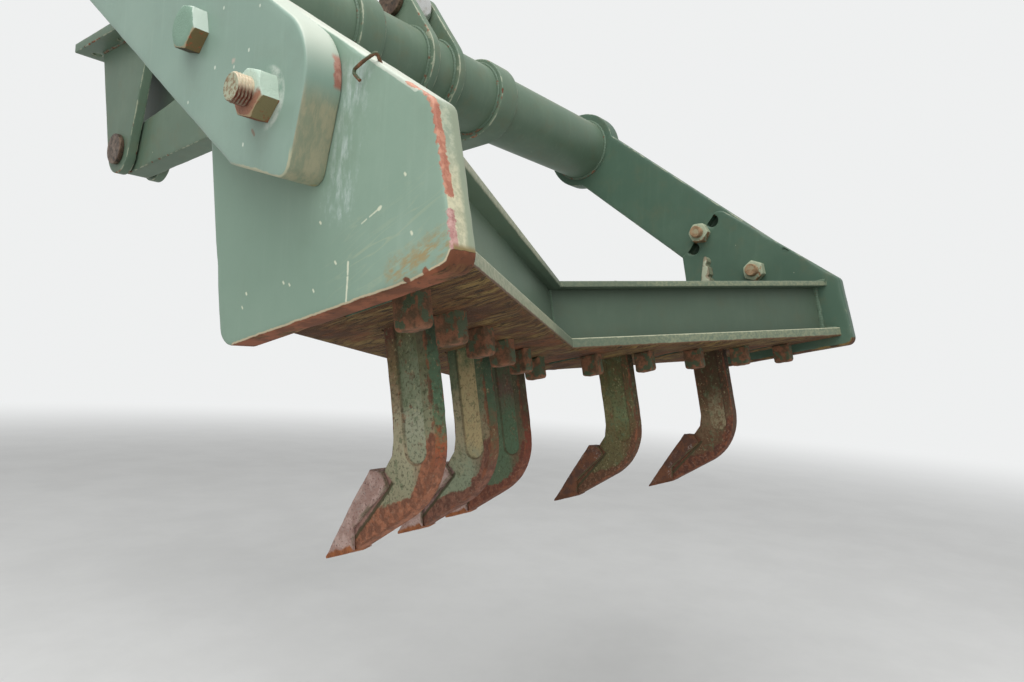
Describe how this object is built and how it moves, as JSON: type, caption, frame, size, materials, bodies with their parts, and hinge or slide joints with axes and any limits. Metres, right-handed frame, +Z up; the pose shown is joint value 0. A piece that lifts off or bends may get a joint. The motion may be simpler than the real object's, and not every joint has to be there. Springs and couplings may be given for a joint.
{
  "type": "v-type scarifier",
  "caption": "V-shaped scarifier of a motor grader: block with pockets, curved shanks and tips, between thick arms on a yoke that a hydraulic cylinder raises.",
  "frame": {"origin": "middle of the saddle's upper face, where it bolts under the grader's frame", "axes": "+X to the machine's left, +Y to its rear, +Z up, with the scarifier raised"},
  "size_m": [1.4716, 1.9165, 1.1928],
  "materials": {
    "green_paint": "satin, chipped and rusty along the edges",
    "underside": "worn paint under dried earth",
    "shank_steel": "rubbed green paint and rust",
    "tip_steel": "rusty and polished by use",
    "fastener_rust": "rusty with remains of green paint",
    "fastener_paint": "painted over, rusty on some faces",
    "pin_steel": "greased and dirty",
    "rod_steel": "hard and bright"
  },
  "bodies": {
    "root": {"frame_saddle": "green_paint", "hinge_pin_left": "pin_steel", "hinge_pin_right": "pin_steel", "cylinder_front_pin": "pin_steel"},
    "yoke": {"cross_tube": "green_paint", "draft_rail_left": "green_paint", "draft_rail_right": "green_paint", "lift_lever": "green_paint", "lever_pin": "pin_steel", "arm_left": "green_paint", "arm_right": "green_paint", "end_plate_left": "green_paint", "end_plate_right": "green_paint", "rear_bar_left": "green_paint", "rear_bar_right": "green_paint", "front_bar_left": "green_paint", "front_bar_right": "green_paint", "pocket_spacers": "underside", "pocket_lugs": "fastener_rust", "pivot_bolt_left": "fastener_rust", "pivot_nut_left": "fastener_rust", "pivot_bolt_right": "fastener_rust", "pivot_nut_right": "fastener_rust", "pitch_bolt_left": "fastener_paint", "pitch_nut_left": "fastener_rust", "pitch_bolt_right": "fastener_paint", "pitch_nut_right": "fastener_rust", "shank_1": "shank_steel", "tip_1": "tip_steel", "shank_2": "shank_steel", "tip_2": "tip_steel", "shank_3": "shank_steel", "tip_3": "tip_steel", "shank_4": "shank_steel", "tip_4": "tip_steel", "shank_5": "shank_steel", "tip_5": "tip_steel"},
    "cylinder_barrel": {"lift_cylinder": "green_paint"},
    "cylinder_rod": {"lift_rod": "rod_steel"}
  },
  "joints": [
    {"name": "lift", "type": "hinge", "parent": "root", "child": "yoke", "pos_m": [0, 0, -0.33], "axis": [1, 0, 0], "range_deg": [-32, 0]},
    {"name": "cylinder_swing", "type": "hinge", "parent": "root", "child": "cylinder_barrel", "pos_m": [0, 0, -0.15], "axis": [1, 0, 0], "range_deg": [-31.26, 0]},
    {"name": "rod_slide", "type": "slide", "parent": "cylinder_barrel", "child": "cylinder_rod", "axis": [0, 0.9949, 0.1007], "range_m": [0, 0.09948]}
  ],
  "couplings": [
    {"joint": "cylinder_swing", "follows": "lift", "ratio": 0.97531},
    {"joint": "rod_slide", "follows": "lift", "m_per_rad": -0.17776}
  ]
}
